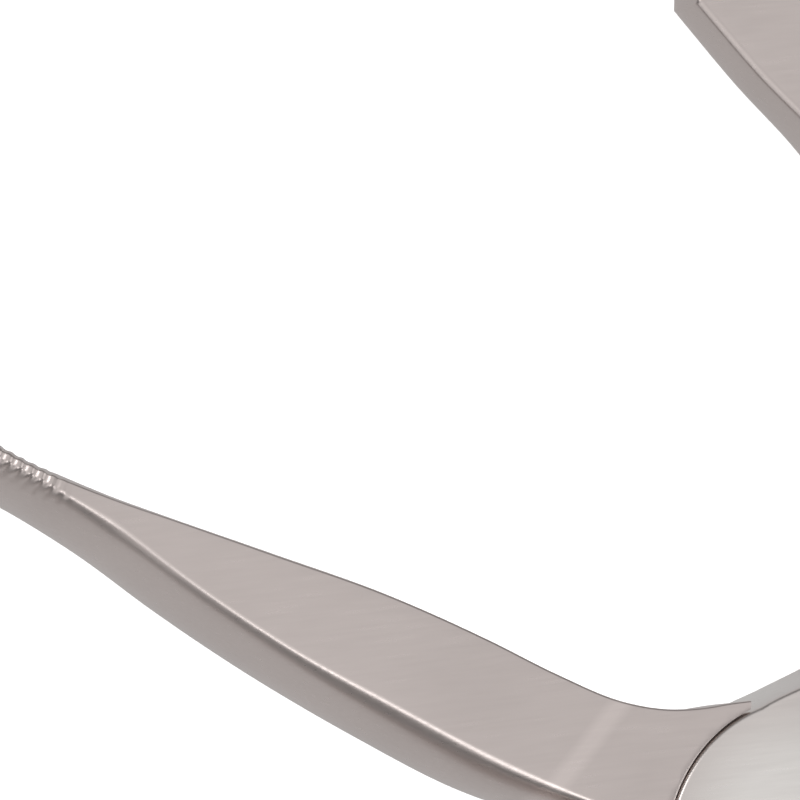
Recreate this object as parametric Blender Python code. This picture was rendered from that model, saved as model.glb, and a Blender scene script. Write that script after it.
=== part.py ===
"""Dental extraction forceps of the hawk's-bill pattern, lying flat and open.

Two forged halves cross at a lap joint and turn on one slotted joint screw.
Half B carries the lower joint plate, half A the upper one. Each half is
drawn in the closed frame, where the mid-line of the handles is -X, and is
then turned about the joint axis (world Z) by half of the opening angle.
"""
import math

import bmesh
import bpy
import numpy as np
from mathutils import Matrix

MM = 0.001

# Driving dimensions, in metres
THICKNESS = 7.2 * MM
PLATE_RADIUS = 9.0 * MM
LAP_GAP = 0.16 * MM
LAP_FACE_GAP = 0.2 * MM
PLATE_CHAMFER = 0.3 * MM
SCREW_HEAD_RADIUS = 3.1 * MM
SCREW_HEAD_DEPTH = 1.5 * MM
SCREW_SLOT_WIDTH = 0.9 * MM
SCREW_SLOT_DEPTH = 0.7 * MM
JOURNAL_RADIUS = 2.25 * MM
RUNNING_CLEARANCE = 0.05 * MM
THREAD_RADIUS = 1.75 * MM
THREAD_FLOOR = 0.8 * MM
HEAD_CLEARANCE = 0.15 * MM
AXIAL_CLEARANCE = 0.1 * MM
SCREW_HEAD_EDGE = 0.35 * MM
SCREW_CROWN = 0.08 * MM
CUT_MARGIN = 2.0 * MM

# The angle between the halves at rest; both stand at half of it from closed
OPEN_ANGLE = math.radians(32.0)

# Mesh fineness
SIDE_STEPS = 8
STATION_STEP = 2.6
DOME_ANGLES = (25.0, 48.0, 66.0, 80.0)
PLATE_SEGMENTS = 96
SCREW_SEGMENTS = 48
WELD_DISTANCE = 1e-7
RIM_ANGLE = math.radians(60.0)
SMOOTH_ANGLE = math.radians(35.0)

# Stations along an arm, in millimetres of the closed frame. Each row holds
# the near top edge (x, y), the far top edge (x, y), how far the near and the
# far side bulge at mid-height, the exponent of that bulge (1 is a parabola
# under a crisp edge, 0.5 an ellipse) and the lowest and highest z.
FULL = THICKNESS / MM
HANDLE = (
    (-4.2, 0.6, -5.1, 8.1, 0.25, 0.05, 1.0, 0.0, FULL),
    (-5.6, 0.6, -6.3, 7.75, 0.25, 0.1, 0.75, 0.0, FULL),
    (-7.7, 0.6, -7.8, 7.25, 0.3, 0.1, 0.7, 0.0, FULL),
    (-10.0, 0.68, -9.9, 6.8, 0.38, 0.15, 0.7, 0.0, FULL),
    (-12.9, 0.95, -12.8, 6.75, 0.6, 0.25, 0.7, 0.0, FULL),
    (-16.2, 1.6, -16.6, 7.5, 1.1, 0.35, 0.7, 0.0, FULL),
    (-20.0, 2.52, -20.9, 8.65, 1.5, 0.45, 0.75, 0.0, FULL),
    (-26.0, 4.2, -27.2, 10.05, 1.5, 0.5, 0.85, 0.0, FULL),
    (-32.2, 6.03, -33.7, 11.0, 1.2, 0.6, 1.0, 0.0, FULL),
    (-38.2, 8.4, -39.4, 11.8, 1.1, 0.65, 1.1, 0.0, FULL),
    (-43.0, 10.65, -43.4, 12.35, 1.05, 0.75, 1.1, 0.0, FULL),
    (-47.4, 12.35, -47.6, 13.15, 1.1, 0.9, 0.9, 0.0, FULL),
    (-52.0, 13.7, -52.2, 14.45, 1.1, 1.0, 0.5, 0.0, FULL),
    (-60.0, 15.45, -60.2, 16.25, 1.35, 1.3, 0.5, 0.0, FULL),
    (-74.0, 17.6, -74.1, 18.7, 1.8, 1.75, 0.5, 0.0, FULL),
    (-90.0, 18.5, -90.0, 19.9, 2.0, 2.0, 0.5, 0.0, FULL),
    (-106.0, 17.9, -105.8, 19.3, 2.05, 2.05, 0.5, 0.0, FULL),
    (-119.0, 15.9, -118.7, 17.2, 2.0, 2.0, 0.5, 0.0, FULL),
)
HANDLE_END_LENGTH = 3.6

INNER_BEAK = (
    (0.0, 9.05, 0.0, 0.65, 0.0, 0.2, 0.4, 0.0, FULL),
    (4.2, 9.1, 4.6, 0.65, 0.0, 0.2, 0.4, 0.0, FULL),
    (8.4, 9.3, 9.8, 0.75, 0.0, 0.2, 0.4, 0.0, FULL),
    (13.4, 10.8, 17.0, 2.9, 0.15, 0.2, 0.45, 0.1, 7.1),
    (17.9, 15.1, 23.6, 10.8, 0.4, 0.1, 0.5, 0.5, 6.8),
    (20.2, 21.8, 25.9, 20.4, 0.4, -0.2, 0.55, 0.95, 6.35),
    (19.8, 29.0, 25.4, 29.2, 0.4, -0.5, 0.6, 1.4, 5.9),
    (18.0, 35.7, 23.3, 37.3, 0.4, -0.6, 0.6, 1.75, 5.5),
    (15.9, 40.5, 21.1, 42.5, 0.4, -0.6, 0.6, 1.9, 5.3),
    (14.0, 45.5, 18.9, 47.3, 0.35, -0.45, 0.6, 2.0, 5.2),
)
INNER_TIP = (
    (15.3, 48.4, 18.0, 49.8, 0.3, -0.25, 0.6, 2.15, 5.05),
    (16.4, 51.0, 17.3, 51.7, 0.2, -0.1, 0.6, 2.4, 4.8),
    (16.75, 51.9, 17.15, 52.1, 0.1, 0.0, 0.6, 2.8, 4.4),
)

OUTER_BEAK = (
    (0.0, -0.65, 0.0, -9.05, 0.2, 0.0, 0.4, 0.0, FULL),
    (4.8, -0.65, 4.8, -9.1, 0.2, 0.0, 0.4, 0.0, FULL),
    (10.2, -0.45, 11.2, -8.9, 0.2, 0.0, 0.4, 0.0, FULL),
    (18.0, 1.7, 22.0, -5.4, 0.2, 0.15, 0.45, 0.1, 7.1),
    (25.3, 9.7, 31.6, 5.6, 0.1, 0.4, 0.5, 0.5, 6.8),
    (29.0, 19.7, 35.2, 18.4, -0.2, 0.4, 0.55, 0.95, 6.35),
    (28.7, 29.2, 34.5, 29.4, -0.5, 0.4, 0.6, 1.4, 5.9),
    (25.8, 38.0, 31.1, 39.7, -0.6, 0.4, 0.6, 1.75, 5.5),
    (22.9, 43.3, 27.9, 45.2, -0.6, 0.4, 0.6, 1.9, 5.3),
    (20.1, 47.8, 24.9, 49.6, -0.45, 0.35, 0.6, 2.0, 5.2),
)
OUTER_TIP = (
    (19.1, 50.2, 21.8, 51.2, -0.25, 0.3, 0.6, 2.15, 5.05),
    (18.4, 52.0, 19.3, 52.3, -0.1, 0.2, 0.6, 2.4, 4.8),
    (18.2, 52.5, 18.6, 52.6, 0.0, 0.1, 0.6, 2.8, 4.4),
)


def clear_scene():
    """Remove every object of the open file."""
    for thing in list(bpy.data.objects):
        bpy.data.objects.remove(thing, do_unlink=True)


def smooth_stations(rows, step):
    """Return stations about one step apart on a smooth curve through rows."""
    table = np.array(rows, dtype=float)
    middle = (table[:, 0:2] + table[:, 2:4]) / 2.0
    spans = np.linalg.norm(np.diff(middle, axis=0), axis=1)
    place = np.concatenate(([0.0], np.cumsum(spans)))
    slope = np.gradient(table, place, axis=0)
    result = [table[0]]
    for index, span in enumerate(spans):
        pieces = max(1, int(round(span / step)))
        for piece in range(1, pieces + 1):
            t = piece / pieces
            start = table[index] * (2 * t**3 - 3 * t**2 + 1)
            start = start + slope[index] * span * (t**3 - 2 * t**2 + t)
            end = table[index + 1] * (3 * t**2 - 2 * t**3)
            end = end + slope[index + 1] * span * (t**3 - t**2)
            result.append(start + end)
    return result


def dome_stations(rows, length):
    """Return rows with a rounded end grown past the last station."""
    last = rows[-1]
    middle = (last[0:2] + last[2:4]) / 2.0
    before = (rows[-2][0:2] + rows[-2][2:4]) / 2.0
    heading = (middle - before) / np.linalg.norm(middle - before)
    height = (last[7] + last[8]) / 2.0
    result = list(rows)
    for angle in DOME_ANGLES:
        reach = length * math.sin(math.radians(angle))
        shrink = math.cos(math.radians(angle))
        row = last.copy()
        centre = middle + heading * reach
        row[0:2] = centre + (last[0:2] - middle) * shrink
        row[2:4] = centre + (last[2:4] - middle) * shrink
        row[4:6] = last[4:6] * shrink
        row[7] = height + (last[7] - height) * shrink
        row[8] = height + (last[8] - height) * shrink
        result.append(row)
    return result


def mirrored(rows):
    """Return stations mirrored in the handles' mid-line."""
    result = []
    for row in rows:
        flipped = list(row)
        flipped[1] = -row[1]
        flipped[3] = -row[3]
        result.append(tuple(flipped))
    return result


def section_points(row):
    """Return one closed ring: down the near side, then up the far side."""
    near = row[0:2]
    far = row[2:4]
    across = (near - far) / np.linalg.norm(near - far)
    low = max(0.0, row[7])
    high = min(THICKNESS / MM, row[8])
    middle = (low + high) / 2.0
    half = (high - low) / 2.0
    turns = [math.pi * step / SIDE_STEPS for step in range(SIDE_STEPS + 1)]
    ring = []
    for turn in turns:
        bulge = row[4] * max(0.0, math.sin(turn)) ** (2.0 * row[6])
        place = near + across * bulge
        ring.append((place[0] * MM, place[1] * MM, (middle + half * math.cos(turn)) * MM))
    for turn in reversed(turns):
        bulge = row[5] * max(0.0, math.sin(turn)) ** (2.0 * row[6])
        place = far - across * bulge
        ring.append((place[0] * MM, place[1] * MM, (middle + half * math.cos(turn)) * MM))
    return ring


def loft(name, stations):
    """Make a closed solid through the sections at the stations."""
    mesh = bpy.data.meshes.new(name)
    shape = bmesh.new()
    rings = []
    for row in stations:
        rings.append([shape.verts.new(point) for point in section_points(row)])
    count = len(rings[0])
    for first, second in zip(rings, rings[1:]):
        for index in range(count):
            after = (index + 1) % count
            shape.faces.new((first[index], first[after], second[after], second[index]))
    shape.faces.new(rings[0])
    shape.faces.new(rings[-1])
    bmesh.ops.recalc_face_normals(shape, faces=shape.faces)
    shape.to_mesh(mesh)
    shape.free()
    solid = bpy.data.objects.new(name, mesh)
    bpy.context.collection.objects.link(solid)
    return solid


def cylinder(name, radius, low, high, segments, chamfer=0.0):
    """Make a cylinder about Z, with its two rims chamfered if asked."""
    mesh = bpy.data.meshes.new(name)
    shape = bmesh.new()
    bmesh.ops.create_cone(
        shape, cap_ends=True, segments=segments, radius1=radius, radius2=radius,
        depth=high - low, matrix=Matrix.Translation((0.0, 0.0, (low + high) / 2.0)))
    if chamfer > 0.0:
        rims = [edge for edge in shape.edges if edge.calc_face_angle() > RIM_ANGLE]
        bmesh.ops.bevel(shape, geom=rims, offset=chamfer, segments=1, affect="EDGES")
    shape.to_mesh(mesh)
    shape.free()
    solid = bpy.data.objects.new(name, mesh)
    bpy.context.collection.objects.link(solid)
    return solid


def combine(target, tool, operation):
    """Add an exact Boolean to target and hide its tool."""
    change = target.modifiers.new(tool.name, "BOOLEAN")
    change.operation = operation
    change.solver = "EXACT"
    change.object = tool
    tool.hide_render = True
    tool.display_type = "WIRE"
    tool.parent = target


def steel(name, color, roughness):
    """Return a steel material."""
    material = bpy.data.materials.new(name)
    material.use_nodes = True
    shader = material.node_tree.nodes["Principled BSDF"]
    shader.inputs["Base Color"].default_value = (*color, 1.0)
    shader.inputs["Metallic"].default_value = 1.0
    shader.inputs["Roughness"].default_value = roughness
    material.diffuse_color = (*color, 1.0)
    return material


def finish(thing, material):
    """Give a sub-part its material and smooth shading between sharp edges."""
    thing.data.materials.append(material)
    thing.data.shade_smooth()
    thing.data.set_sharp_from_angle(angle=SMOOTH_ANGLE)


def build_half(name, handle_rows, beak_rows, tip_rows, cut_low, cut_high):
    """Join a handle, a beak and a joint plate, and cut the other half's lap."""
    handle = dome_stations(smooth_stations(handle_rows, STATION_STEP), HANDLE_END_LENGTH)
    half = loft(name, handle)
    beak_stations = smooth_stations(beak_rows, STATION_STEP)
    beak_stations.extend(np.array(row) for row in tip_rows)
    beak = loft(name + "_beak_form", beak_stations)
    plate = cylinder(
        name + "_plate_form", PLATE_RADIUS, 0.0, THICKNESS, PLATE_SEGMENTS, PLATE_CHAMFER)
    lap = cylinder(
        name + "_lap_cutter", PLATE_RADIUS + LAP_GAP, cut_low, cut_high, PLATE_SEGMENTS)
    combine(half, plate, "UNION")
    combine(half, beak, "UNION")
    combine(half, lap, "DIFFERENCE")
    return half


def build_half_b(material):
    """The half with the lower joint plate, the upper handle and the outer beak."""
    lap_floor = (THICKNESS - LAP_FACE_GAP) / 2.0
    half = build_half(
        "half_b", HANDLE, OUTER_BEAK, OUTER_TIP, lap_floor, THICKNESS + CUT_MARGIN)
    hole = cylinder(
        "half_b_thread_cutter", THREAD_RADIUS + RUNNING_CLEARANCE, THREAD_FLOOR,
        THICKNESS + CUT_MARGIN, SCREW_SEGMENTS)
    combine(half, hole, "DIFFERENCE")
    half.rotation_euler.z = -OPEN_ANGLE / 2.0
    finish(half, material)
    return half


def build_half_a(material):
    """The half with the upper joint plate, the lower handle and the inner beak."""
    lap_ceiling = (THICKNESS + LAP_FACE_GAP) / 2.0
    half = build_half(
        "half_a", mirrored(HANDLE), INNER_BEAK, INNER_TIP, -CUT_MARGIN, lap_ceiling)
    bore = cylinder(
        "half_a_bore_cutter", JOURNAL_RADIUS + RUNNING_CLEARANCE, -CUT_MARGIN,
        THICKNESS + CUT_MARGIN, SCREW_SEGMENTS)
    seat = cylinder(
        "half_a_seat_cutter", SCREW_HEAD_RADIUS + HEAD_CLEARANCE,
        THICKNESS - SCREW_HEAD_DEPTH - AXIAL_CLEARANCE, THICKNESS + CUT_MARGIN, SCREW_SEGMENTS)
    combine(half, bore, "DIFFERENCE")
    combine(half, seat, "DIFFERENCE")
    half.rotation_euler.z = OPEN_ANGLE / 2.0
    finish(half, material)
    return half


def build_screw(material):
    """The joint screw, turned as one profile about Z, with one straight slot."""
    lap_floor = (THICKNESS - LAP_FACE_GAP) / 2.0
    head_low = THICKNESS - SCREW_HEAD_DEPTH
    profile = (
        (0.0, THREAD_FLOOR + AXIAL_CLEARANCE),
        (THREAD_RADIUS, THREAD_FLOOR + AXIAL_CLEARANCE),
        (THREAD_RADIUS, lap_floor + AXIAL_CLEARANCE),
        (JOURNAL_RADIUS, lap_floor + AXIAL_CLEARANCE),
        (JOURNAL_RADIUS, head_low),
        (SCREW_HEAD_RADIUS, head_low),
        (SCREW_HEAD_RADIUS, THICKNESS - SCREW_HEAD_EDGE),
        (SCREW_HEAD_RADIUS - SCREW_HEAD_EDGE, THICKNESS - SCREW_CROWN),
        (0.0, THICKNESS),
    )
    mesh = bpy.data.meshes.new("joint_screw")
    shape = bmesh.new()
    points = [shape.verts.new((radius, 0.0, height)) for radius, height in profile]
    edges = [shape.edges.new(pair) for pair in zip(points, points[1:])]
    bmesh.ops.spin(
        shape, geom=points + edges, axis=(0.0, 0.0, 1.0), cent=(0.0, 0.0, 0.0),
        steps=SCREW_SEGMENTS, angle=2.0 * math.pi)
    bmesh.ops.remove_doubles(shape, verts=shape.verts, dist=WELD_DISTANCE)
    bmesh.ops.recalc_face_normals(shape, faces=shape.faces)
    shape.to_mesh(mesh)
    shape.free()
    screw = bpy.data.objects.new("joint_screw", mesh)
    bpy.context.collection.objects.link(screw)

    slot_mesh = bpy.data.meshes.new("screw_slot_cutter")
    slot_shape = bmesh.new()
    bmesh.ops.create_cube(slot_shape, size=1.0)
    slot_shape.to_mesh(slot_mesh)
    slot_shape.free()
    slot = bpy.data.objects.new("screw_slot_cutter", slot_mesh)
    bpy.context.collection.objects.link(slot)
    slot_length = 2.0 * (SCREW_HEAD_RADIUS + CUT_MARGIN)
    slot.scale = (slot_length, SCREW_SLOT_WIDTH, 2.0 * SCREW_SLOT_DEPTH)
    slot.location.z = THICKNESS
    combine(screw, slot, "DIFFERENCE")
    screw.rotation_euler.z = -OPEN_ANGLE / 2.0
    finish(screw, material)
    return screw


def main():
    """Build the three pieces of the forceps."""
    clear_scene()
    satin = steel("satin_steel", (0.62, 0.58, 0.56), 0.34)
    plate_finish = steel("fine_satin_steel", (0.66, 0.63, 0.61), 0.30)
    turned = steel("turned_steel", (0.60, 0.58, 0.57), 0.22)
    build_half_b(satin)
    build_half_a(plate_finish)
    build_screw(turned)


main()
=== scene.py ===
# %% [markdown]
# # Hawk's-bill extraction forceps
# Two forged steel halves cross at a lap joint and turn on one slotted screw. The packed
# frame holds their true sizes and the joint. This lesson rebuilds the surfaces finely
# enough for a close look: rounded ridges, cut grips, ground faces and a turned screw.

# %% Load the frame
import math

import bpy
import bmesh
import numpy as np
from mathutils import Matrix, Vector


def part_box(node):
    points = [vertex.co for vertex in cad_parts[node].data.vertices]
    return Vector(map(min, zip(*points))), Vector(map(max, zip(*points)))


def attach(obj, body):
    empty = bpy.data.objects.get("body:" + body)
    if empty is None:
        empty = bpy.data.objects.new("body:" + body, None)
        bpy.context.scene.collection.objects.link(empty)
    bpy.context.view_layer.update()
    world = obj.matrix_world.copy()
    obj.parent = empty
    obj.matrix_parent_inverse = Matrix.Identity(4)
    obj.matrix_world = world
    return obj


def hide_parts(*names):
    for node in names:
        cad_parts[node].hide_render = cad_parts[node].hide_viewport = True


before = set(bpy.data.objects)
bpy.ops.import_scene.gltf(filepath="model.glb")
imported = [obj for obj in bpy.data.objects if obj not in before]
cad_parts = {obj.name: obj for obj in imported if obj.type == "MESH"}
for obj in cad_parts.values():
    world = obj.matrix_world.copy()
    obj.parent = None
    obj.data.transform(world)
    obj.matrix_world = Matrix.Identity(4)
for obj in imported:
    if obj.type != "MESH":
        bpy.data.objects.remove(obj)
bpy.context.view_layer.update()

MM = 0.001
print("frame nodes:", sorted(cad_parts))

# %% [markdown]
# ## Sizes
# The thickness comes from the top of the frame's screw, which is flush with the upper
# face. The other sizes are those of the joint: the plate and the gaps round it. Forceps
# are easiest to draw closed, with both handles along a mid-line. Each half is then
# turned about the joint by half of the opening.

# %% Driving sizes
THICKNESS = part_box("joint_screw")[1].z
PLATE_RADIUS = 9.03 * MM
LAP_GAP = 0.11 * MM
LAP_FACE_GAP = 0.2 * MM
HALF_OPENING = math.radians(16.0)
CUT_MARGIN = 2.0 * MM
print("thickness", round(THICKNESS / MM, 2), "mm")

# %% [markdown]
# ## Stations along the arms
# A forging has no simple outline, so its shape is held by stations: the near and far
# edge of the flat top, how far each side bulges at mid-height, how round that bulge is,
# and the lowest and highest z. They are the same stations as the frame's, in
# millimetres of the closed frame. A smooth curve runs through them.

# %% Station tables
FULL = THICKNESS / MM
HANDLE = (
    (-4.2, 0.6, -5.1, 8.1, 0.25, 0.05, 1.0, 0.0, FULL),
    (-5.6, 0.6, -6.3, 7.75, 0.25, 0.1, 0.75, 0.0, FULL),
    (-7.7, 0.6, -7.8, 7.25, 0.3, 0.1, 0.7, 0.0, FULL),
    (-10.0, 0.68, -9.9, 6.8, 0.38, 0.15, 0.7, 0.0, FULL),
    (-12.9, 0.95, -12.8, 6.75, 0.6, 0.25, 0.7, 0.0, FULL),
    (-16.2, 1.6, -16.6, 7.5, 1.1, 0.35, 0.7, 0.0, FULL),
    (-20.0, 2.52, -20.9, 8.65, 1.5, 0.45, 0.75, 0.0, FULL),
    (-26.0, 4.2, -27.2, 10.05, 1.5, 0.5, 0.85, 0.0, FULL),
    (-32.2, 6.03, -33.7, 11.0, 1.2, 0.6, 1.0, 0.0, FULL),
    (-38.2, 8.4, -39.4, 11.8, 1.1, 0.65, 1.1, 0.0, FULL),
    (-43.0, 10.65, -43.4, 12.35, 1.05, 0.75, 1.1, 0.0, FULL),
    (-47.4, 12.35, -47.6, 13.15, 1.1, 0.9, 0.9, 0.0, FULL),
    (-52.0, 13.7, -52.2, 14.45, 1.1, 1.0, 0.5, 0.0, FULL),
    (-60.0, 15.45, -60.2, 16.25, 1.35, 1.3, 0.5, 0.0, FULL),
    (-74.0, 17.6, -74.1, 18.7, 1.8, 1.75, 0.5, 0.0, FULL),
    (-90.0, 18.5, -90.0, 19.9, 2.0, 2.0, 0.5, 0.0, FULL),
    (-106.0, 17.9, -105.8, 19.3, 2.05, 2.05, 0.5, 0.0, FULL),
    (-119.0, 15.9, -118.7, 17.2, 2.0, 2.0, 0.5, 0.0, FULL),
)
GRIP_ROW = 10
HANDLE_END_LENGTH = 3.5

INNER_BEAK = (
    (-1.6, 8.7, -1.2, 0.65, 0.0, 0.2, 0.4, 0.0, FULL),
    (0.4, 9.02, 0.6, 0.65, 0.0, 0.2, 0.4, 0.0, FULL),
    (4.2, 9.1, 4.6, 0.65, 0.0, 0.2, 0.4, 0.0, FULL),
    (8.4, 9.3, 9.8, 0.75, 0.0, 0.2, 0.4, 0.0, FULL),
    (13.4, 10.8, 17.0, 2.9, 0.15, 0.2, 0.45, 0.1, 7.1),
    (17.9, 15.1, 23.6, 10.8, 0.4, 0.1, 0.5, 0.5, 6.8),
    (20.2, 21.8, 25.9, 20.4, 0.4, -0.2, 0.55, 0.95, 6.35),
    (19.8, 29.0, 25.4, 29.2, 0.4, -0.5, 0.6, 1.4, 5.9),
    (18.0, 35.7, 23.3, 37.3, 0.4, -0.6, 0.6, 1.75, 5.5),
    (15.9, 40.5, 21.1, 42.5, 0.4, -0.6, 0.6, 1.9, 5.3),
    (14.0, 45.5, 18.9, 47.3, 0.35, -0.45, 0.6, 2.0, 5.2),
)
INNER_TIP = (
    (14.0, 45.5, 18.9, 47.3, 0.35, -0.45, 0.6, 2.0, 5.2),
    (15.3, 48.4, 18.0, 49.8, 0.3, -0.25, 0.6, 2.15, 5.05),
    (16.4, 51.0, 17.3, 51.7, 0.2, -0.1, 0.6, 2.4, 4.8),
    (16.75, 51.9, 17.15, 52.1, 0.1, 0.0, 0.6, 2.8, 4.4),
)

OUTER_BEAK = (
    (-1.2, -0.65, -1.6, -8.7, 0.2, 0.0, 0.4, 0.0, FULL),
    (0.6, -0.65, 0.4, -9.02, 0.2, 0.0, 0.4, 0.0, FULL),
    (4.8, -0.65, 4.8, -9.1, 0.2, 0.0, 0.4, 0.0, FULL),
    (10.2, -0.45, 11.2, -8.9, 0.2, 0.0, 0.4, 0.0, FULL),
    (18.0, 1.7, 22.0, -5.4, 0.2, 0.15, 0.45, 0.1, 7.1),
    (25.3, 9.7, 31.6, 5.6, 0.1, 0.4, 0.5, 0.5, 6.8),
    (29.0, 19.7, 35.2, 18.4, -0.2, 0.4, 0.55, 0.95, 6.35),
    (28.7, 29.2, 34.5, 29.4, -0.5, 0.4, 0.6, 1.4, 5.9),
    (25.8, 38.0, 31.1, 39.7, -0.6, 0.4, 0.6, 1.75, 5.5),
    (22.9, 43.3, 27.9, 45.2, -0.6, 0.4, 0.6, 1.9, 5.3),
    (20.1, 47.8, 24.9, 49.6, -0.45, 0.35, 0.6, 2.0, 5.2),
)
OUTER_TIP = (
    (20.1, 47.8, 24.9, 49.6, -0.45, 0.35, 0.6, 2.0, 5.2),
    (19.1, 50.2, 21.8, 51.2, -0.25, 0.3, 0.6, 2.15, 5.05),
    (18.4, 52.0, 19.3, 52.3, -0.1, 0.2, 0.6, 2.4, 4.8),
    (18.2, 52.5, 18.6, 52.6, 0.0, 0.1, 0.6, 2.8, 4.4),
)


def smooth_stations(rows, step, first=0, last=None):
    """Stations about one step apart on a smooth curve, between two of the rows."""
    table = np.array(rows, dtype=float)
    middle = (table[:, 0:2] + table[:, 2:4]) / 2.0
    spans = np.linalg.norm(np.diff(middle, axis=0), axis=1)
    place = np.concatenate(([0.0], np.cumsum(spans)))
    slope = np.gradient(table, place, axis=0)
    last = len(rows) - 1 if last is None else last
    result = [table[first]]
    for index in range(first, last):
        pieces = max(1, int(round(spans[index] / step)))
        for piece in range(1, pieces + 1):
            t = piece / pieces
            start = table[index] * (2 * t**3 - 3 * t**2 + 1)
            start = start + slope[index] * spans[index] * (t**3 - 2 * t**2 + t)
            end = table[index + 1] * (3 * t**2 - 2 * t**3)
            end = end + slope[index + 1] * spans[index] * (t**3 - t**2)
            result.append(start + end)
    return result


def straight_stations(rows, step):
    """Stations about one step apart on straight runs between the rows."""
    table = np.array(rows, dtype=float)
    result = []
    for start, end in zip(table, table[1:]):
        pieces = max(1, int(round(np.linalg.norm(end[0:2] - start[0:2]) / step)))
        for piece in range(1, pieces + 1):
            result.append(start + (end - start) * piece / pieces)
    return result


print("handle stations:", len(HANDLE), " beak stations:", len(INNER_BEAK) + len(INNER_TIP))

# %% [markdown]
# ## Sections
# At each station the arm has one cross-section: a flat top and bottom, bulging sides,
# and a small round on each of the four ridges where the grinding wheel met the forging.
# That round is what catches the light as a thin bright line, so it is real geometry.
# The points are spread evenly along the section, so that cuts can be pressed into it.

# %% Section of an arm
TOP_STEPS = 8
CORNER_STEPS = 6
SIDE_STEPS = 16
RIDGE_ROUND = 0.28
RIDGE_ROUND_GRIP = 0.8
RIDGE_SPREAD = (22.0, 42.0)
RIDGE_FALL_AT = (10.0, 20.0, 30.0, 40.0)
RIDGE_FALL = (0.3, 0.45, 0.9, 1.5)
FAR_RIDGE_ROUND = 0.12
NEAR_RIDGE_OF_WIDTH = 0.45
NEAR_RIDGE_OF_HALF = 0.3
FAR_RIDGE_OF_WIDTH = 0.2
FALL_OF_HALF = 0.4
PROFILE_POINTS = 181


def side_profile(bulge, power, half, ridge, fall):
    """Points (outward, up) of one side from the top ridge to the bottom one."""
    turns = np.linspace(0.0, math.pi, PROFILE_POINTS)
    outward = bulge * np.clip(np.sin(turns), 0.0, 1.0) ** (2.0 * power)
    upward = half * np.cos(turns)
    along = np.concatenate(([0.0], np.cumsum(np.hypot(np.diff(outward), np.diff(upward)))))
    inner = np.linspace(fall, along[-1] - fall, SIDE_STEPS + 1)
    side = np.stack([np.interp(inner, along, outward), np.interp(inner, along, upward)], 1)
    steps = np.linspace(0.0, 1.0, CORNER_STEPS + 1)[:-1, None]
    top = np.array([0.0, half])
    start = np.array([-ridge, half])
    corner = start * (1 - steps) ** 2 + top * 2 * steps * (1 - steps) + side[0] * steps**2
    under = corner[::-1] * np.array([1.0, -1.0])
    return np.concatenate([corner, side, under])


def section_ring(row):
    """One closed ring of points at a station, in millimetres of the closed frame."""
    near, far = row[0:2], row[2:4]
    width = np.linalg.norm(near - far)
    across = (near - far) / width
    low, high = max(0.0, row[7]), min(FULL, row[8])
    middle, half = (low + high) / 2.0, (high - low) / 2.0
    spread = np.interp(-row[0], RIDGE_SPREAD, (0.0, 1.0))
    near_ridge = RIDGE_ROUND + (RIDGE_ROUND_GRIP - RIDGE_ROUND) * spread
    near_ridge = min(near_ridge, NEAR_RIDGE_OF_WIDTH * width, NEAR_RIDGE_OF_HALF * half)
    far_ridge = min(FAR_RIDGE_ROUND, FAR_RIDGE_OF_WIDTH * width)
    fall = min(np.interp(-row[0], RIDGE_FALL_AT, RIDGE_FALL), FALL_OF_HALF * half)
    near_side = side_profile(row[4], row[6], half, near_ridge, fall)
    far_side = side_profile(row[5], row[6], half, far_ridge, far_ridge)[::-1]
    flat_near, flat_far = near - across * near_ridge, far + across * far_ridge
    ring = [(*(near + across * out), middle + up) for out, up in near_side]
    ring += [(*spot, low) for spot in np.linspace(flat_near, flat_far, TOP_STEPS + 1)[1:-1]]
    ring += [(*(far - across * out), middle + up) for out, up in far_side]
    ring += [(*spot, high) for spot in np.linspace(flat_far, flat_near, TOP_STEPS + 1)[1:-1]]
    return np.array(ring)


print("points in one section:", len(section_ring(np.array(HANDLE[3]))))

# %% [markdown]
# ## Rolling a grid into an arm
# A long bent bar could be extruded ring by ring, but hundreds of extrusions are slow.
# A grid primitive has the same faces at once: its columns go round the section, its
# rows go along the arm. Each row is laid on its ring, the seam is merged, the two open
# ends are filled, and the result is one closed bar with even quads.

# %% Helpers and the rolled arm
MERGE = 1e-6
INSIDE_FRAME = 0.9992


def deselect_all():
    """Leave nothing selected and no mode but object mode."""
    if bpy.context.mode != "OBJECT":
        bpy.ops.object.mode_set(mode="OBJECT")
    bpy.ops.object.select_all(action="DESELECT")


def make_active(thing):
    """Select one object alone and make it active."""
    deselect_all()
    thing.select_set(True)
    bpy.context.view_layer.objects.active = thing


def edit_all(thing):
    """Open an object in edit mode with its whole mesh selected."""
    make_active(thing)
    bpy.ops.object.mode_set(mode="EDIT")
    bpy.ops.mesh.select_all(action="SELECT")


def turned(points, angle):
    """Points turned about the joint axis, in metres."""
    c, s = math.cos(angle), math.sin(angle)
    spin = np.array([[c, s, 0.0], [-s, c, 0.0], [0.0, 0.0, 1.0]])
    return points @ spin * MM * INSIDE_FRAME


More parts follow.
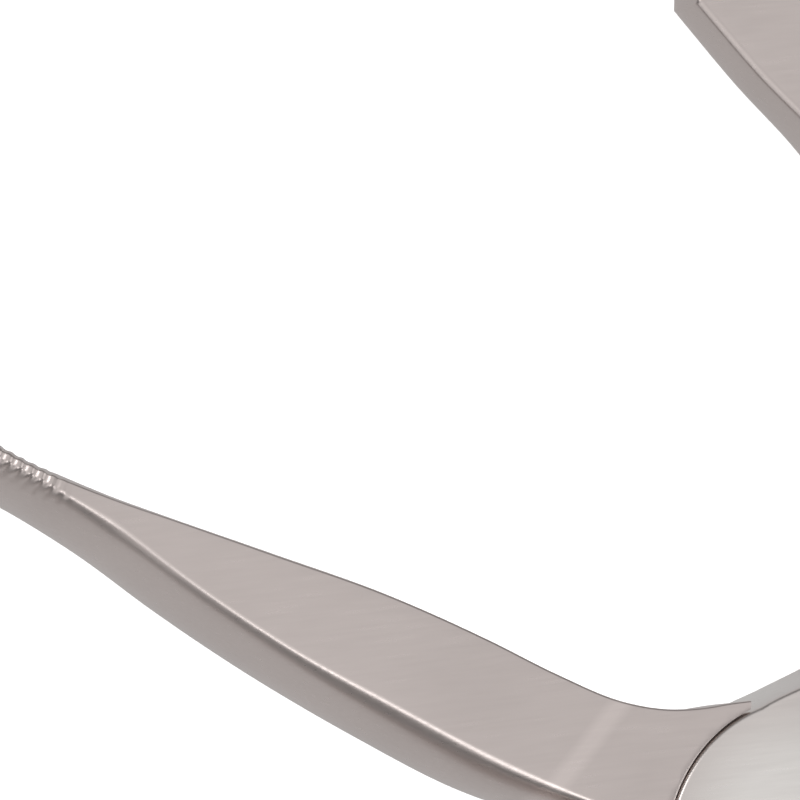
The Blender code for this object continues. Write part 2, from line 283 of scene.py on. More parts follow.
def roll_arm(name, rings, angle):
    """A closed bar through the rings, turned about the joint by angle."""
    around, along = len(rings[0]), len(rings) - 1
    deselect_all()
    bpy.ops.mesh.primitive_grid_add(x_subdivisions=around, y_subdivisions=along, size=2.0)
    bar = bpy.context.active_object
    bar.name = name
    bar.data.name = name
    flat = np.zeros(len(bar.data.vertices) * 3)
    bar.data.vertices.foreach_get("co", flat)
    flat = flat.reshape(-1, 3)
    column = np.rint((flat[:, 0] + 1.0) / 2.0 * around).astype(int) % around
    row = np.rint((flat[:, 1] + 1.0) / 2.0 * along).astype(int)
    placed = turned(np.array(rings).reshape(-1, 3), angle).reshape(len(rings), around, 3)
    bar.data.vertices.foreach_set("co", placed[row, column].ravel())
    edit_all(bar)
    bpy.ops.mesh.remove_doubles(threshold=MERGE)
    bpy.ops.mesh.fill_holes(sides=0)
    bpy.ops.mesh.normals_make_consistent(inside=False)
    bpy.ops.object.mode_set(mode="OBJECT")
    return bar


def apply_boolean(thing, tool, operation):
    """Apply an exact Boolean with a tool object, and remove the tool."""
    make_active(thing)
    change = thing.modifiers.new("cut", "BOOLEAN")
    change.operation = operation
    change.solver = "EXACT"
    change.object = tool
    bpy.ops.object.modifier_apply(modifier=change.name)
    bpy.data.objects.remove(tool, do_unlink=True)


def closed_volume(thing):
    """Volume of a mesh in cubic millimetres, positive when its faces point out."""
    mesh = bmesh.new()
    mesh.from_mesh(thing.data)
    volume = mesh.calc_volume(signed=True) / MM**3
    mesh.free()
    return volume


print("helpers ready")

# %% [markdown]
# ## The cut grip
# The outer side of each grip is cut with crossing slanted grooves, so that a wet glove
# holds. They wrap over the crest and stop on the smooth inner side. The cuts could be
# bump in the material, but they show on the outline, so here they are pressed into the
# fine rings: each point sinks inwards by the depth of the rounded groove that it lies in.

# %% Grooves pressed into the rings
GRIP_STEP = 0.09
GROOVE_PITCH = 0.67
GROOVE_DEPTH = 0.1
CROSS_DEPTH = 0.08
GROOVE_LEAN = math.tan(math.radians(26.0))
CROSS_LEAN = math.tan(math.radians(38.0))
GROOVE_SHARPNESS = 1.4
GRIP_FADE_IN = (2.2, 3.8)
CROSS_BELOW_RIDGE = 0.5
CROSS_FADE = 0.3
GRIP_SMOOTH_END = 4.0
GRIP_FADE_OUT = 0.8
GRIP_EDGE_FADE = 0.35
INNER_SIDE_REACH = (0.2, 1.0)
INNER_SIDE_GROWTH = 3.6


def groove(phase):
    """Depth from 0 to 1 of a rounded groove that repeats once a unit of phase."""
    return (0.5 + 0.5 * np.cos(2.0 * math.pi * phase)) ** GROOVE_SHARPNESS


def ring_normals(ring):
    """Outward directions of a ring's points, in the plane of the ring."""
    tangent = np.roll(ring, -1, axis=0) - np.roll(ring, 1, axis=0)
    centre = ring.mean(axis=0)
    plane = np.cross(ring[0] - centre, ring[len(ring) // 4] - centre)
    normal = np.cross(tangent, plane)
    normal /= np.linalg.norm(normal, axis=1)[:, None]
    facing = np.sum(normal * (ring - centre), axis=1)
    return normal * np.sign(facing.sum())


def distance_round(ring):
    """Distance of each point from the middle of the outer side, signed up and down."""
    gaps = np.linalg.norm(ring - np.roll(ring, 1, axis=0), axis=1)
    along = np.cumsum(gaps) - gaps[0]
    total = along[-1] + gaps[0]
    outer = CORNER_STEPS * 2 + SIDE_STEPS + TOP_STEPS + CORNER_STEPS + SIDE_STEPS // 2
    signed = along - along[outer]
    return (signed + total / 2.0) % total - total / 2.0


def lengths_along(rings):
    """Distance of each ring from the first, measured through the rings' centres."""
    centres = np.array([ring.mean(axis=0) for ring in rings])
    steps = np.linalg.norm(np.diff(centres, axis=0), axis=1)
    return np.concatenate(([0.0], np.cumsum(steps)))


def cut_rings(rings, lengths):
    """Rings of the grip with the crossing grooves pressed into them."""
    near_top = CORNER_STEPS // 2
    far_top = CORNER_STEPS * 4 + SIDE_STEPS * 2 + TOP_STEPS
    result = []
    for ring, length in zip(rings, lengths):
        around = distance_round(ring)
        limit = abs(around[near_top])
        growth = min(1.0, max(0.0, (length - GRIP_FADE_IN[0]) / INNER_SIDE_GROWTH))
        reach = INNER_SIDE_REACH[0] + (INNER_SIDE_REACH[1] - INNER_SIDE_REACH[0]) * growth
        mask = np.clip((limit + reach - np.abs(around)) / GRIP_EDGE_FADE, 0.0, 1.0)
        fade = np.clip((length - GRIP_FADE_IN[0]) / (GRIP_FADE_IN[1] - GRIP_FADE_IN[0]), 0, 1)
        left = lengths[-1] - length
        fade *= np.clip((left - GRIP_SMOOTH_END) / GRIP_FADE_OUT, 0.0, 1.0)
        height = np.abs(around)
        first = groove((length - height * GROOVE_LEAN) / GROOVE_PITCH)
        second = groove((length + height * CROSS_LEAN) / GROOVE_PITCH)
        on_side = abs(around[far_top]) - CROSS_BELOW_RIDGE
        second *= np.clip((on_side - height) / CROSS_FADE, 0.0, 1.0)
        depth = np.maximum(first * GROOVE_DEPTH, second * CROSS_DEPTH)
        result.append(ring - ring_normals(ring) * (depth * mask * fade)[:, None])
    return result


grip_length = math.dist(HANDLE[GRIP_ROW][0:2], HANDLE[-1][0:2])
print("grip grooves:", round(grip_length / GROOVE_PITCH), "each way")

# %% [markdown]
# ## Joining the grip to the forged root
# The finely ringed grip is not sent through the Boolean cuts of the joint. The root of
# the handle ends on exactly the ring where the grip begins, so after the cuts both end
# caps are deleted and the two meshes are welded there, with no visible seam.

# %% Handle root, grip and weld
ROOT_STEP = 0.55
BEAK_STEP = 0.5
TIP_STEP = 0.12
DOME_STEPS = 12
DOME_END = math.radians(86.0)
CAP_CORNERS = 20


def dome_rings(rings, length):
    """Rings that close the end of a bar in a rounded dome."""
    last, before = rings[-1], rings[-2]
    centre = last.mean(axis=0)
    heading = centre - before.mean(axis=0)
    heading /= np.linalg.norm(heading)
    result = []
    for step in range(1, DOME_STEPS + 1):
        angle = DOME_END * step / DOME_STEPS
        moved = centre + heading * length * math.sin(angle)
        result.append(moved + (last - centre) * math.cos(angle))
    return result


def mirror_rows(rows):
    """Stations mirrored in the mid-line of the handles."""
    return [(r[0], -r[1], r[2], -r[3], *r[4:]) for r in rows]


def build_handle(name, rows, angle):
    """The root and the cut grip of one handle, as two closed bars."""
    root_rings = [section_ring(row) for row in smooth_stations(rows, ROOT_STEP, 0, GRIP_ROW)]
    grip_rows = smooth_stations(rows, GRIP_STEP, GRIP_ROW)
    grip_rings = [section_ring(row) for row in grip_rows]
    cut = cut_rings(grip_rings, lengths_along(grip_rings))
    cut += dome_rings(grip_rings, HANDLE_END_LENGTH)
    seam = turned(grip_rings[0].mean(axis=0)[None, :], angle)[0]
    root = roll_arm(name + "_root", root_rings, angle)
    grip = roll_arm(name + "_grip", cut, angle)
    return root, grip, Vector(seam)


def delete_cap(thing, seam):
    """Delete the end face that lies at the seam between root and grip."""
    edit_all(thing)
    bpy.ops.mesh.select_all(action="DESELECT")
    mesh = bmesh.from_edit_mesh(thing.data)
    caps = [face for face in mesh.faces if len(face.verts) > CAP_CORNERS]
    cap = min(caps, key=lambda face: (face.calc_center_median() - seam).length)
    cap.select_set(True)
    bmesh.update_edit_mesh(thing.data)
    bpy.ops.mesh.delete(type="ONLY_FACE")
    bpy.ops.object.mode_set(mode="OBJECT")


def weld(thing, grip, seam):
    """Join the grip to the cut half at their common ring."""
    delete_cap(thing, seam)
    delete_cap(grip, seam)
    make_active(thing)
    grip.select_set(True)
    bpy.ops.object.join()
    edit_all(thing)
    bpy.ops.mesh.remove_doubles(threshold=MERGE)
    bpy.ops.mesh.normals_make_consistent(inside=False)
    bpy.ops.object.mode_set(mode="OBJECT")


print("root from row 0 to", GRIP_ROW, " grip from row", GRIP_ROW, "to", len(HANDLE) - 1)

# %% [markdown]
# ## Beaks
# The beaks are the same kind of bar. Their gripping faces are hollowed and carry fine
# cross grooves near the tip, which keep a tooth from slipping. Behind the tip each back
# is ground off at a slant, so the last stations run straight, with a clear corner.

# %% Beak bars
BEAK_GROOVE_PITCH = 0.9
BEAK_GROOVE_DEPTH = 0.09
BEAK_GROOVE_LENGTH = 13.0
BEAK_SMOOTH_TIP = 0.8
BEAK_FINE_ROWS = 2


def build_beak(name, rows, tip_rows, angle, grip_on_far_side):
    """One beak, with grooves across its gripping face near the tip."""
    last = len(rows) - 1
    fine = last - BEAK_FINE_ROWS
    stations = smooth_stations(rows, BEAK_STEP, 0, fine)
    stations += smooth_stations(rows, TIP_STEP, fine, last)[1:]
    stations += straight_stations(tip_rows, TIP_STEP)
    rings = [section_ring(row) for row in stations]
    lengths = lengths_along(rings)
    side = slice(CORNER_STEPS, CORNER_STEPS + SIDE_STEPS + 1)
    if grip_on_far_side:
        begin = CORNER_STEPS * 3 + SIDE_STEPS + TOP_STEPS
        side = slice(begin, begin + SIDE_STEPS + 1)
    edge = np.sqrt(np.sin(np.linspace(0.0, math.pi, SIDE_STEPS + 1)))
    for ring, length in zip(rings, lengths):
        left = lengths[-1] - length
        fade = np.clip(BEAK_GROOVE_LENGTH - left, 0.0, 1.0)
        fade *= np.clip(left - BEAK_SMOOTH_TIP, 0.0, 1.0)
        depth = groove(np.array([length / BEAK_GROOVE_PITCH]))[0] * BEAK_GROOVE_DEPTH * fade
        ring[side] -= ring_normals(ring)[side] * (depth * edge)[:, None]
    return roll_arm(name, rings, angle)


print("beak grooves:", round(BEAK_GROOVE_LENGTH / BEAK_GROOVE_PITCH), "on each beak")

# %% [markdown]
# ## Joint plates and the lap
# Each half keeps a round plate of just under half the thickness. The other half is
# turned out to let it in, with a fine gap and a small chamfer round the shoulder. The
# plate is a cylinder with a bevelled rim; the lap is cut with a slightly larger
# cylinder, and a flat cone cuts the chamfer of the shoulder.

# %% Plate and lap tools
PLATE_SIDES = 256
PLATE_ROUND = 0.24 * MM
ROUND_SEGMENTS = 3
SHOULDER_WIDTH = 0.17 * MM
SHOULDER_DEPTH = 0.06 * MM


def add_cylinder(name, radius, low, high, sides=PLATE_SIDES):
    """A cylinder about the joint axis between two heights."""
    deselect_all()
    bpy.ops.mesh.primitive_cylinder_add(
        vertices=sides, radius=radius, depth=high - low, location=(0, 0, (low + high) / 2))
    tool = bpy.context.active_object
    tool.name = name
    bpy.ops.object.transform_apply(location=True, rotation=False, scale=False)
    return tool


def bevel_rims(thing, heights, width, segments):
    """Bevel the round edges of a turned shape that lie at the given heights."""
    edit_all(thing)
    bpy.ops.mesh.select_all(action="DESELECT")
    bpy.ops.mesh.select_mode(type="EDGE")
    mesh = bmesh.from_edit_mesh(thing.data)
    for edge in mesh.edges:
        level = any(
            all(abs(vert.co.z - height) < MERGE for vert in edge.verts) for height in heights)
        edge.select_set(level)
    bmesh.update_edit_mesh(thing.data)
    bpy.ops.mesh.bevel(offset=width, segments=segments, affect="EDGES")
    bpy.ops.object.mode_set(mode="OBJECT")


def shoulder_cone(name, height, upward):
    """A flat cone that chamfers the edge of the lap at a top or bottom face."""
    radius = PLATE_RADIUS + LAP_GAP
    reach = SHOULDER_DEPTH + CUT_MARGIN
    wide = radius + reach * SHOULDER_WIDTH / SHOULDER_DEPTH
    deselect_all()
    sign = 1.0 if upward else -1.0
    bpy.ops.mesh.primitive_cone_add(
        vertices=PLATE_SIDES, radius1=radius if upward else wide,
        radius2=wide if upward else radius, depth=reach,
        location=(0, 0, height + sign * (reach / 2 - SHOULDER_DEPTH)))
    tool = bpy.context.active_object
    tool.name = name
    bpy.ops.object.transform_apply(location=True, rotation=False, scale=False)
    return tool


def forge_half(name, handle_rows, beak_rows, tip_rows, angle, grip_on_far_side):
    """Root, plate and beak of one half as one solid, with its loose grip and seam."""
    half, grip, seam = build_handle(name, handle_rows, angle)
    plate = add_cylinder("plate", PLATE_RADIUS, 0.0, THICKNESS)
    bevel_rims(plate, (0.0, THICKNESS), PLATE_ROUND, ROUND_SEGMENTS)
    apply_boolean(half, plate, "UNION")
    beak = build_beak("beak", beak_rows, tip_rows, angle, grip_on_far_side)
    apply_boolean(half, beak, "UNION")
    return half, grip, seam


print("plate of", PLATE_SIDES, "sides, radius", round(PLATE_RADIUS / MM, 2), "mm")

# %% [markdown]
# ## Half B
# This half lies below at the joint. It carries the outer beak and holds the screw in its
# thread. Its plate is turned down from above to the middle of the thickness. The thread
# can't be seen once the screw is in, so a plain hole stands for it.

# %% Half B: lower plate, handle and outer beak
LAP_FLOOR = (THICKNESS - LAP_FACE_GAP) / 2
THREAD_RADIUS = 1.8 * MM
THREAD_FLOOR = 0.8 * MM
HOLE_SIDES = 96

half_b, grip_b, seam_b = forge_half(
    "forged_half_b", HANDLE, OUTER_BEAK, OUTER_TIP, -HALF_OPENING, False)
lap = add_cylinder("lap", PLATE_RADIUS + LAP_GAP, LAP_FLOOR, THICKNESS + CUT_MARGIN)
apply_boolean(half_b, lap, "DIFFERENCE")
apply_boolean(half_b, shoulder_cone("shoulder", THICKNESS, True), "DIFFERENCE")
thread = add_cylinder("thread", THREAD_RADIUS, THREAD_FLOOR, THICKNESS, HOLE_SIDES)
apply_boolean(half_b, thread, "DIFFERENCE")
weld(half_b, grip_b, seam_b)
half_b.name = "forged_half_b"
print("half B:", len(half_b.data.polygons), "faces", round(closed_volume(half_b)), "mm3")

# %% [markdown]
# ## Half A
# This half lies above at the joint, so its round plate is the one that shows. It carries
# the inner beak and a mirrored handle. Its plate is turned down from below, bored for
# the screw's journal and counterbored from above for the screw's head.

# %% Half A: upper plate, handle and inner beak
LAP_CEILING = (THICKNESS + LAP_FACE_GAP) / 2
JOURNAL_RADIUS = 2.3 * MM
SEAT_RADIUS = 3.25 * MM
SEAT_FLOOR = THICKNESS - 1.6 * MM
SEAT_SIDES = 128

half_a, grip_a, seam_a = forge_half(
    "forged_half_a", mirror_rows(HANDLE), INNER_BEAK, INNER_TIP, HALF_OPENING, True)
lap = add_cylinder("lap", PLATE_RADIUS + LAP_GAP, -CUT_MARGIN, LAP_CEILING)
apply_boolean(half_a, lap, "DIFFERENCE")
apply_boolean(half_a, shoulder_cone("shoulder", 0.0, False), "DIFFERENCE")
bore = add_cylinder(
    "bore", JOURNAL_RADIUS, -CUT_MARGIN, THICKNESS + CUT_MARGIN, HOLE_SIDES)
apply_boolean(half_a, bore, "DIFFERENCE")
seat = add_cylinder(
    "seat", SEAT_RADIUS, SEAT_FLOOR, THICKNESS + CUT_MARGIN, SEAT_SIDES)
apply_boolean(half_a, seat, "DIFFERENCE")
weld(half_a, grip_a, seam_a)
half_a.name = "forged_half_a"
print("half A:", len(half_a.data.polygons), "faces", round(closed_volume(half_a)), "mm3")

# %% [markdown]
# ## Joint screw
# The screw is turned in one piece: a low crowned head with a broken edge, a plain
# journal that half A turns on, and a thread in half B. It is built up from one cylinder:
# the head's top is inset and lifted for the crown, its bottom is inset and pushed down
# for the journal and again for the threaded end, and a narrow box cuts the slot.

# %% Joint screw
HEAD_RADIUS = 3.1 * MM
HEAD_DEPTH = 1.5 * MM
HEAD_EDGE = 0.3 * MM
CROWN = 0.1 * MM
CROWN_STEPS = ((0.7 * MM, CROWN * 0.6), (0.9 * MM, CROWN * 0.35))
SLOT_WIDTH = 0.9 * MM
SLOT_DEPTH = 0.7 * MM
CLEARANCE = 0.05 * MM
SCREW_SIDES = 96


def select_cap(thing, upward):
    """Select the one flat end face of a turned shape, top or bottom."""
    bpy.ops.mesh.select_all(action="DESELECT")
    bpy.ops.mesh.select_mode(type="FACE")
    mesh = bmesh.from_edit_mesh(thing.data)
    ends = [face for face in mesh.faces if len(face.verts) == SCREW_SIDES]
    ends.sort(key=lambda face: face.calc_center_median().z)
    ends[-1 if upward else 0].select_set(True)
    bpy.ops.mesh.select_mode(type="FACE")
    bmesh.update_edit_mesh(thing.data)


def inset_and_move(thing, upward, inset, move):
    """Inset an end face and move it along the axis."""
    select_cap(thing, upward)
    bpy.ops.mesh.inset(thickness=inset)
    bpy.ops.transform.translate(value=(0, 0, move))


def extrude_end(thing, upward, inset, length):
    """Inset an end face and extrude a thinner shank from it."""
    select_cap(thing, upward)
    bpy.ops.mesh.inset(thickness=inset)
    bpy.ops.mesh.extrude_region_move(TRANSFORM_OT_translate={"value": (0, 0, length)})


screw = add_cylinder(
    "turned_joint_screw", HEAD_RADIUS, THICKNESS - HEAD_DEPTH, THICKNESS - CROWN, SCREW_SIDES)
bevel_rims(screw, (THICKNESS - CROWN,), HEAD_EDGE, ROUND_SEGMENTS)
edit_all(screw)
for inset, lift in CROWN_STEPS:
    inset_and_move(screw, True, inset, lift)
journal_length = THICKNESS - HEAD_DEPTH - LAP_FLOOR - 2 * CLEARANCE
extrude_end(screw, False, HEAD_RADIUS - JOURNAL_RADIUS + CLEARANCE, -journal_length)
thread_length = LAP_FLOOR - THREAD_FLOOR
extrude_end(screw, False, JOURNAL_RADIUS - THREAD_RADIUS, -thread_length)
bpy.ops.mesh.select_all(action="SELECT")
bpy.ops.mesh.normals_make_consistent(inside=False)
bpy.ops.object.mode_set(mode="OBJECT")

deselect_all()
bpy.ops.mesh.primitive_cube_add(size=1.0, location=(0, 0, THICKNESS))
slot = bpy.context.active_object
slot.scale = (4 * HEAD_RADIUS, SLOT_WIDTH, 2 * SLOT_DEPTH)
slot.rotation_euler.z = -HALF_OPENING
bpy.ops.object.transform_apply(location=True, rotation=True, scale=True)
apply_boolean(screw, slot, "DIFFERENCE")
print("screw:", len(screw.data.polygons), "faces", round(closed_volume(screw)), "mm3")

# %% [markdown]
# ## Shading of edges
# Smooth shading rounds every surface except where two faces meet at a clear angle, such
# as the shoulder of the lap. The limit is set by angle, which keeps the cut edges crisp.

# %% Smooth shading
SHARP_EDGE = math.radians(38.0)
for piece in (half_a, half_b, screw):
    make_active(piece)
    bpy.ops.object.shade_smooth_by_angle(angle=SHARP_EDGE)
print("shaded", [piece.name for piece in (half_a, half_b, screw)])

# %% [markdown]
# ## Steel finishes
# The faces are ground to a satin with a fine belt, so they are slightly warm, soft in
# their reflections and finely scratched. A Principled shader at full metal holds the
# colour; noise stretched along the arm makes the belt marks and varies the roughness, a
# slow noise varies the tone, and a fine noise gives the grain. The round plate is
# coloured lighter, so a mask by distance from the joint axis changes its colour.

# %% Material helpers
def new_steel(name, color, roughness):
    """A metal Principled material with its own node tree."""
    material = bpy.data.materials.new(name)
    material.use_nodes = True
    shader = material.node_tree.nodes["Principled BSDF"]
    shader.inputs["Base Color"].default_value = (*color, 1.0)
    shader.inputs["Metallic"].default_value = 1.0
    shader.inputs["Roughness"].default_value = roughness
    return material, shader


def add_node(material, kind, **values):
    """Add a node and set its inputs by name."""
    node = material.node_tree.nodes.new(kind)
    for key, value in values.items():
        node.inputs[key.replace("_", " ")].default_value = value
    return node


def join_nodes(material, source, target):
    """Link an output socket to an input socket."""
    material.node_tree.links.new(source, target)


def range_node(material, source, low, high, new_low, new_high):
    """Map a value from one range to another, clamped."""
    node = material.node_tree.nodes.new("ShaderNodeMapRange")
    for index, value in enumerate((low, high, new_low, new_high), start=1):
        node.inputs[index].default_value = value
    join_nodes(material, source, node.inputs[0])
    return node.outputs[0]


def mix_color(material, factor, first, second):
    """Mix two colours by a factor socket."""
    node = material.node_tree.nodes.new("ShaderNodeMix")
    node.data_type = "RGBA"
    join_nodes(material, factor, node.inputs["Factor"])
    colors = [socket for socket in node.inputs if socket.type == "RGBA"]
    for socket, value in zip(colors, (first, second)):
        if isinstance(value, tuple):
            socket.default_value = (*value, 1.0)
        else:
            join_nodes(material, value, socket)
    outputs = [socket for socket in node.outputs if socket.type == "RGBA"]
    return outputs[0]


def scaled(color, gain):
    """A colour made lighter or darker by a factor."""
    return tuple(channel * gain for channel in color)


def add_noise(material, vector, scale, detail, roughness):
    """A noise value from 0 to 1 that varies with a vector."""
    node = add_node(
        material, "ShaderNodeTexNoise", Scale=scale, Detail=detail, Roughness=roughness)
    join_nodes(material, vector, node.inputs["Vector"])
    return node.outputs["Fac"]


def add_bump(material, shader, height, strength, distance):
    """Fine relief on a shader from a height value."""
    bump = add_node(material, "ShaderNodeBump", Strength=strength, Distance=distance)
    join_nodes(material, height, bump.inputs["Height"])
    join_nodes(material, bump.outputs["Normal"], shader.inputs["Normal"])


print("helpers for metal, noise, masks and bump")

# %% [markdown]
# ## Satin steel
# Two separate materials could be built by hand, but the halves are ground alike. So the
# finish is one function, and a half differs only in what it passes: the angle of its
# belt marks, the tone of its joint plate, and whether it has a lighter band on its top.

# %% Satin steel
BELT_SCALE = (300.0, 5200.0, 5200.0)
TONE_SCALE = 110.0
GRAIN_SCALE = 9000.0
DARK_SHARE = 0.93
MARK_SHARE = 0.62
PLATE_FADE = 4 * MM
SMOOTHER = 0.03
ROUGHER = 0.04
GRAIN_STRENGTH = 0.045
GRAIN_DISTANCE = 0.00003
POLISH_MARKS = 0.06
# A soft band across half B's flat top, coloured lighter by STREAK_GAIN: centre, turn and
# width.
STREAK_CENTRE = (-12.6 * MM, 8.0 * MM, THICKNESS)
STREAK_TURN = math.radians(-48.0)
STREAK_HALF_WIDTH = 0.75 * MM
STREAK_CORE = 0.3 * STREAK_HALF_WIDTH
STREAK_GAIN = 1.09


def streak_mask(material, place):
    """A soft band mask across the flat top; the steel is coloured lighter inside it."""
    band = add_node(material, "ShaderNodeMapping")
    band.vector_type = "TEXTURE"
    band.inputs["Location"].default_value = STREAK_CENTRE
    band.inputs["Rotation"].default_value = (0.0, 0.0, STREAK_TURN)
    join_nodes(material, place, band.inputs["Vector"])
    parts = add_node(material, "ShaderNodeSeparateXYZ")
    join_nodes(material, band.outputs["Vector"], parts.inputs[0])
    away = material.node_tree.nodes.new("ShaderNodeMath")
    away.operation = "ABSOLUTE"
    join_nodes(material, parts.outputs["X"], away.inputs[0])
    return range_node(material, away.outputs[0], STREAK_CORE, STREAK_HALF_WIDTH, 1.0, 0.0)


def satin_steel(name, body, plate, angle, roughness, streak=False):
    """Belt-ground steel, with marks along the arm and a lighter joint plate."""
    material, shader = new_steel(name, body, roughness)
    place = add_node(material, "ShaderNodeTexCoord").outputs["Object"]

    stretch = add_node(material, "ShaderNodeMapping")
    stretch.inputs["Rotation"].default_value = (0.0, 0.0, angle)
    stretch.inputs["Scale"].default_value = BELT_SCALE
    join_nodes(material, place, stretch.inputs["Vector"])
    belt = add_noise(material, stretch.outputs["Vector"], 1.0, 4.0, 0.55)
    slow = add_noise(material, place, TONE_SCALE, 3.0, 0.5)
    grain = add_noise(material, place, GRAIN_SCALE, 2.0, 0.6)

    distance = add_node(material, "ShaderNodeVectorMath")
    distance.operation = "LENGTH"
    join_nodes(material, place, distance.inputs[0])
    edge = PLATE_RADIUS + LAP_GAP
    on_plate = range_node(
        material, distance.outputs["Value"], edge + PLATE_FADE, edge, 0.0, 1.0)

    shade = range_node(material, slow, 0.3, 0.7, 0.0, 1.0)
    tone = mix_color(material, shade, scaled(body, DARK_SHARE), body)
    # Half B only: the body colour is made lighter inside the soft band across the flat top.
    if streak:
        mask = streak_mask(material, place)
        tone = mix_color(material, mask, tone, scaled(body, STREAK_GAIN))
    tone = mix_color(material, on_plate, tone, plate)
    marks = range_node(material, belt, 0.35, 0.75, 0.0, POLISH_MARKS)
    tone = mix_color(material, marks, tone, scaled(body, MARK_SHARE))
    join_nodes(material, tone, shader.inputs["Base Color"])

    rough = range_node(
        material, belt, 0.3, 0.7, roughness - SMOOTHER, roughness + ROUGHER)
    join_nodes(material, rough, shader.inputs["Roughness"])

    height = material.node_tree.nodes.new("ShaderNodeMath")
    height.operation = "ADD"
    join_nodes(material, belt, height.inputs[0])
    join_nodes(material, grain, height.inputs[1])
    add_bump(material, shader, height.outputs[0], GRAIN_STRENGTH, GRAIN_DISTANCE)
    return material


print("satin steel: belt marks", BELT_SCALE, "grain", GRAIN_SCALE)

# %% [markdown]
# ## Turned steel
# A lathe leaves fine rings round the axis of the screw. A noise in one dimension, read
# at the distance from that axis, makes rings of uneven width without any mesh.

# %% Turned steel
RING_SCALE = 14000.0
RING_SHARE = 0.85
RING_STRENGTH = 0.25
RING_DISTANCE = 0.00002


def turned_steel(name, color, roughness):
    """Lathe-turned steel: fine rings round the joint axis."""
    material, shader = new_steel(name, color, roughness)
    place = add_node(material, "ShaderNodeTexCoord").outputs["Object"]
    flat = add_node(material, "ShaderNodeVectorMath")
    flat.operation = "MULTIPLY"
    flat.inputs[1].default_value = (1.0, 1.0, 0.0)
    join_nodes(material, place, flat.inputs[0])
    radius = add_node(material, "ShaderNodeVectorMath")
    radius.operation = "LENGTH"
    join_nodes(material, flat.outputs["Vector"], radius.inputs[0])
    rings = add_node(
        material, "ShaderNodeTexNoise", Scale=RING_SCALE, Detail=3.0, Roughness=0.6)
    rings.noise_dimensions = "1D"
    join_nodes(material, radius.outputs["Value"], rings.inputs["W"])
    tone = range_node(material, rings.outputs["Fac"], 0.3, 0.7, 0.0, 1.0)
    mixed = mix_color(material, tone, scaled(color, RING_SHARE), color)
    join_nodes(material, mixed, shader.inputs["Base Color"])
    add_bump(material, shader, rings.outputs["Fac"], RING_STRENGTH, RING_DISTANCE)
    return material


print("turned steel: ring scale", RING_SCALE)

# %% [markdown]
# ## Finishing the pieces
# Both halves are ground along their own arm, so each has its own belt angle. Only half A
# shows its plate, and half B alone has the lighter band on its top.

# %% Give the pieces their finishes
BODY_COLOR = (0.69, 0.615, 0.59)
PLATE_COLOR = (0.89, 0.855, 0.825)
SCREW_COLOR = (0.66, 0.63, 0.61)
GROUND_ROUGHNESS = 0.30
TURNED_ROUGHNESS = 0.24
BELT_TURN = math.radians(25.0)

steel_b = satin_steel(
    "satin_ground_steel_b", BODY_COLOR, BODY_COLOR, BELT_TURN, GROUND_ROUGHNESS, True)
steel_a = satin_steel(
    "satin_ground_steel_a", BODY_COLOR, PLATE_COLOR, -BELT_TURN, GROUND_ROUGHNESS)
steel_screw = turned_steel("turned_screw_steel", SCREW_COLOR, TURNED_ROUGHNESS)


def wear(piece, material):
    """Give a piece one material on all its faces."""
    piece.data.materials.clear()
    piece.data.materials.append(material)


wear(half_b, steel_b)
wear(half_a, steel_a)
wear(screw, steel_screw)
for node, material in (
        ("half_b", steel_b), ("half_a", steel_a), ("joint_screw", steel_screw)):
    wear(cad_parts[node], material)
print("finishes:", [m.name for m in (steel_b, steel_a, steel_screw)])

# %% [markdown]
# ## Riding on the joint
# Half B is the still body, with the screw held in its thread. Half A turns on the screw.
# Each finished piece stands for its node of the frame and rides on the same body.

# %% Ride and replace
for piece, body, node, slot_name in (
        (half_b, "half_b", "half_b", "satin_steel_b"),
        (half_a, "half_a", "half_a", "satin_steel_a"),
        (screw, "half_b", "joint_screw", "turned_steel")):
    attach(piece, body)
    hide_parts(node)

# %% [markdown]
# ## Floor
# The forceps lie on a plain pale table. A wide thin disc just below z = 0 is enough. The
# steel doesn't mirror it, because a bright table would wash out the sides of the arms.

# %% Floor
FLOOR_RADIUS = 0.9
FLOOR_DEPTH = 10.0 * MM
FLOOR_GAP = 0.2 * MM
FLOOR_SIDES = 96
FLOOR_COLOR = (0.92, 0.92, 0.92, 1.0)

deselect_all()
bpy.ops.mesh.primitive_cylinder_add(
    vertices=FLOOR_SIDES, radius=FLOOR_RADIUS, depth=FLOOR_DEPTH,
    location=(0, 0, -FLOOR_GAP - FLOOR_DEPTH / 2))
floor = bpy.context.active_object
floor.name = "pale_table"
bpy.ops.object.transform_apply(location=True, rotation=False, scale=False)
paint = bpy.data.materials.new("pale_table_top")
paint.use_nodes = True
paint_shader = paint.node_tree.nodes["Principled BSDF"]
paint_shader.inputs["Base Color"].default_value = FLOOR_COLOR
paint_shader.inputs["Roughness"].default_value = 0.9
paint_shader.inputs["Specular IOR Level"].default_value = 0.1
floor.data.materials.append(paint)
floor.visible_glossy = False
print("floor radius", FLOOR_RADIUS)

# %% [markdown]
# ## Studio light
# Steel shows what it reflects. The room is a gradient in the world by height: the flat
# faces mirror its bright top, and the sides mirror the dim zone above the horizon and
# the mid-grey lower half, which stands in for a table. Four soft boxes add the bright
# lines on the ridges, the rim and the shoulder. Three broad suns, which no steel
# mirrors, keep the table pale.

# %% World
ROOM_LEVELS = (
    (-1.0, 0.56), (-0.05, 0.56), (0.12, 0.20), (0.60, 0.20), (0.84, 0.79), (0.94, 0.79),
    (1.0, 0.60))

